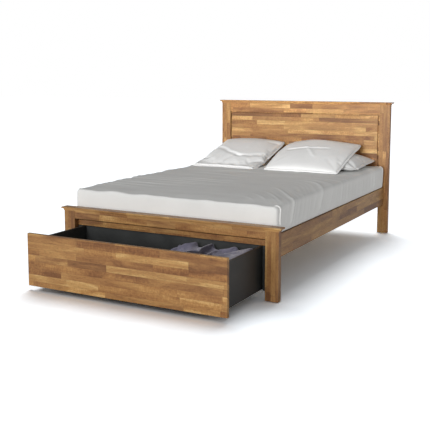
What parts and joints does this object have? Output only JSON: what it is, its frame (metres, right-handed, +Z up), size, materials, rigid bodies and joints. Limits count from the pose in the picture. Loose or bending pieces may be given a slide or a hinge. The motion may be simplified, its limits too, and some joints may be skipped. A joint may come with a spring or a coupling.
{
  "type": "platform bed with storage drawer",
  "caption": "Low double bed with a panelled headboard, slatted base, mattress and pillows, and a wide storage drawer on castors that rolls out at the foot.",
  "frame": {"origin": "centre of the footprint at floor level, with the drawer pulled out as at rest", "axes": "+Z up, +Y from the foot to the headboard, +X to the right seen from the foot"},
  "size_m": [1.452, 2.53, 0.995],
  "materials": {
    "acacia": "satin lacquered butcher-block staves, honey to dark brown",
    "pine": "planed, unfinished",
    "beech": "plain",
    "charcoal_board": "charcoal melamine face",
    "zinc_steel": "zinc plated",
    "black_nylon": "moulded",
    "wheel_nylon": "moulded, lightly scuffed tread",
    "rubber": "matt",
    "ticking": "woven mattress cover",
    "white_sheet": "plain weave cotton",
    "white_pillowcase": "plain weave cotton",
    "slate_throw": "soft knitted cotton"
  },
  "bodies": {
    "bed_frame": {"headboard_leg_left": "acacia", "headboard_leg_right": "acacia", "headboard_top_rail": "acacia", "headboard_lower_rail": "acacia", "headboard_panel": "acacia", "headboard_cap": "acacia", "footboard_leg_left": "acacia", "footboard_leg_right": "acacia", "footboard_rail": "acacia", "footboard_cap": "acacia", "drawer_stop_rail": "acacia", "side_rail_left": "acacia", "side_rail_right": "acacia", "slats": "pine", "slat_ledger_left": "pine", "slat_ledger_right": "pine", "centre_beam": "pine", "centre_leg_front": "pine", "centre_leg_rear": "pine", "frame_dowels": "beech", "cap_dowels": "beech", "guide_plates": "charcoal_board", "beam_brackets": "zinc_steel", "beam_bolts": "zinc_steel", "leg_slot_plates": "zinc_steel", "rail_hook_plates": "zinc_steel", "slat_screws": "zinc_steel", "ledger_screws": "zinc_steel", "hook_plate_screws": "zinc_steel", "leg_back_screws": "zinc_steel", "beam_bracket_screws": "zinc_steel", "floor_glides": "black_nylon", "centre_leg_levellers": "black_nylon", "guide_strips": "black_nylon", "mattress": "ticking", "fitted_sheet": "white_sheet", "pillow_left": "white_pillowcase", "pillow_right": "white_pillowcase", "pillow_spare": "white_pillowcase"},
    "drawer": {"drawer_front": "acacia", "drawer_inner_front": "charcoal_board", "drawer_back": "charcoal_board", "drawer_bottom": "charcoal_board", "castor_battens": "pine", "stop_blocks": "pine", "stop_bumpers": "rubber", "pull_out_catches": "pine", "castor_forks": "zinc_steel", "castor_axles": "zinc_steel", "drawer_throw": "slate_throw", "box_dowels": "beech", "drawer_front_screws": "zinc_steel", "castor_screws": "zinc_steel", "stop_block_screws": "zinc_steel", "drawer_side_left": "charcoal_board", "drawer_side_right": "charcoal_board"},
    "wheel_front_left": {"castor_wheel_front_left": "wheel_nylon"},
    "wheel_front_right": {"castor_wheel_front_right": "wheel_nylon"},
    "wheel_rear_left": {"castor_wheel_rear_left": "wheel_nylon"},
    "wheel_rear_right": {"castor_wheel_rear_right": "wheel_nylon"}
  },
  "joints": [
    {"name": "drawer_slide", "type": "slide", "parent": "bed_frame", "child": "drawer", "axis": [0, -1, 0], "range_m": [-0.423, 0.008]},
    {"name": "wheel_spin_front_left", "type": "hinge", "parent": "drawer", "child": "wheel_front_left", "pos_m": [-0.5, -1.182, 0.0203], "axis": [1, 0, 0], "continuous": true},
    {"name": "wheel_spin_front_right", "type": "hinge", "parent": "drawer", "child": "wheel_front_right", "pos_m": [0.5, -1.182, 0.0203], "axis": [1, 0, 0], "continuous": true},
    {"name": "wheel_spin_rear_left", "type": "hinge", "parent": "drawer", "child": "wheel_rear_left", "pos_m": [-0.5, -0.837, 0.0203], "axis": [1, 0, 0], "continuous": true},
    {"name": "wheel_spin_rear_right", "type": "hinge", "parent": "drawer", "child": "wheel_rear_right", "pos_m": [0.5, -0.837, 0.0203], "axis": [1, 0, 0], "continuous": true}
  ],
  "couplings": [
    {"joint": "wheel_spin_front_left", "follows": "drawer_slide", "rad_per_m": 50},
    {"joint": "wheel_spin_front_right", "follows": "drawer_slide", "rad_per_m": 50},
    {"joint": "wheel_spin_rear_left", "follows": "drawer_slide", "rad_per_m": 50},
    {"joint": "wheel_spin_rear_right", "follows": "drawer_slide", "rad_per_m": 50}
  ]
}
